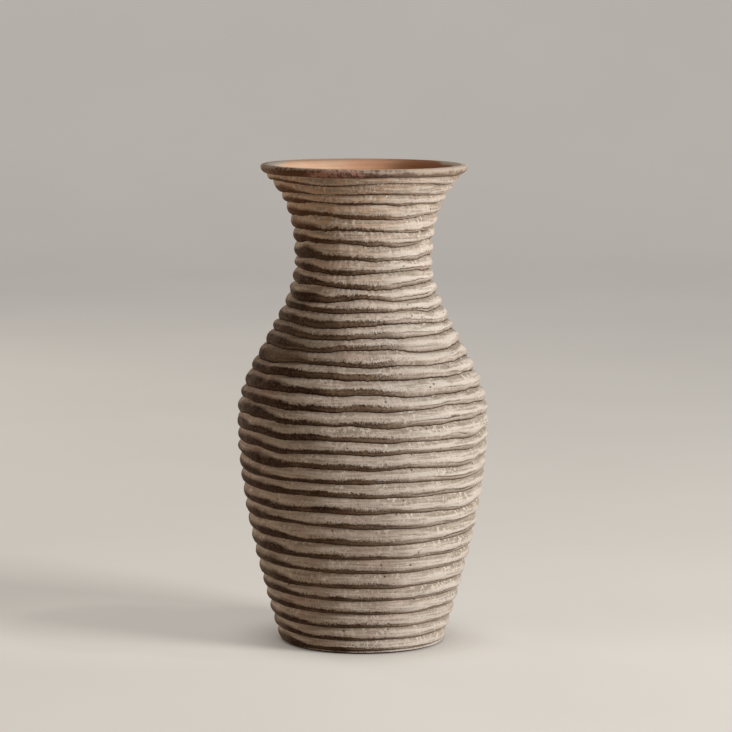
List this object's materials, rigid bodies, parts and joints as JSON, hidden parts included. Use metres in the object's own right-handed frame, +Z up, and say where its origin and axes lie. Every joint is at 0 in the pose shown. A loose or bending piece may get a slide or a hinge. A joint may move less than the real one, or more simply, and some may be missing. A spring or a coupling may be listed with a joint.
{
  "type": "ribbed urn-shaped vase",
  "caption": "Tall coil-built terracotta vase with a swelling belly, narrow neck and flared mouth, ribbed all over and whitewashed over a dark stain",
  "frame": {"origin": "centre of the foot ring that the vase stands on, at floor level", "axes": "+Z runs up the vase's axis from the floor to the mouth; every piece is round about Z, so X and Y are free"},
  "size_m": [0.2102, 0.2102, 0.4],
  "materials": {
    "whitewashed_terracotta": "dry-brushed chalky whitewash on the ribs, dark brown stain left in the grooves, matt",
    "stained_terracotta": "brown-grey stain rubbed thin over fired clay, matt",
    "bare_terracotta": "bare fired clay, matt"
  },
  "bodies": {
    "root": {"base_slab": "bare_terracotta", "coil_01": "whitewashed_terracotta", "coil_02": "whitewashed_terracotta", "coil_03": "whitewashed_terracotta", "coil_04": "whitewashed_terracotta", "coil_05": "whitewashed_terracotta", "coil_06": "whitewashed_terracotta", "coil_07": "whitewashed_terracotta", "coil_08": "whitewashed_terracotta", "coil_09": "whitewashed_terracotta", "coil_10": "whitewashed_terracotta", "coil_11": "whitewashed_terracotta", "coil_12": "whitewashed_terracotta", "coil_13": "whitewashed_terracotta", "coil_14": "whitewashed_terracotta", "coil_15": "whitewashed_terracotta", "coil_16": "whitewashed_terracotta", "coil_17": "whitewashed_terracotta", "coil_18": "whitewashed_terracotta", "coil_19": "whitewashed_terracotta", "coil_20": "whitewashed_terracotta", "coil_21": "whitewashed_terracotta", "coil_22": "whitewashed_terracotta", "coil_23": "whitewashed_terracotta", "coil_24": "whitewashed_terracotta", "coil_25": "whitewashed_terracotta", "coil_26": "whitewashed_terracotta", "coil_27": "whitewashed_terracotta", "coil_28": "whitewashed_terracotta", "coil_29": "whitewashed_terracotta", "coil_30": "whitewashed_terracotta", "coil_31": "whitewashed_terracotta", "coil_32": "whitewashed_terracotta", "coil_33": "whitewashed_terracotta", "coil_34": "whitewashed_terracotta", "rim_lip": "stained_terracotta"}
  },
  "joints": []
}
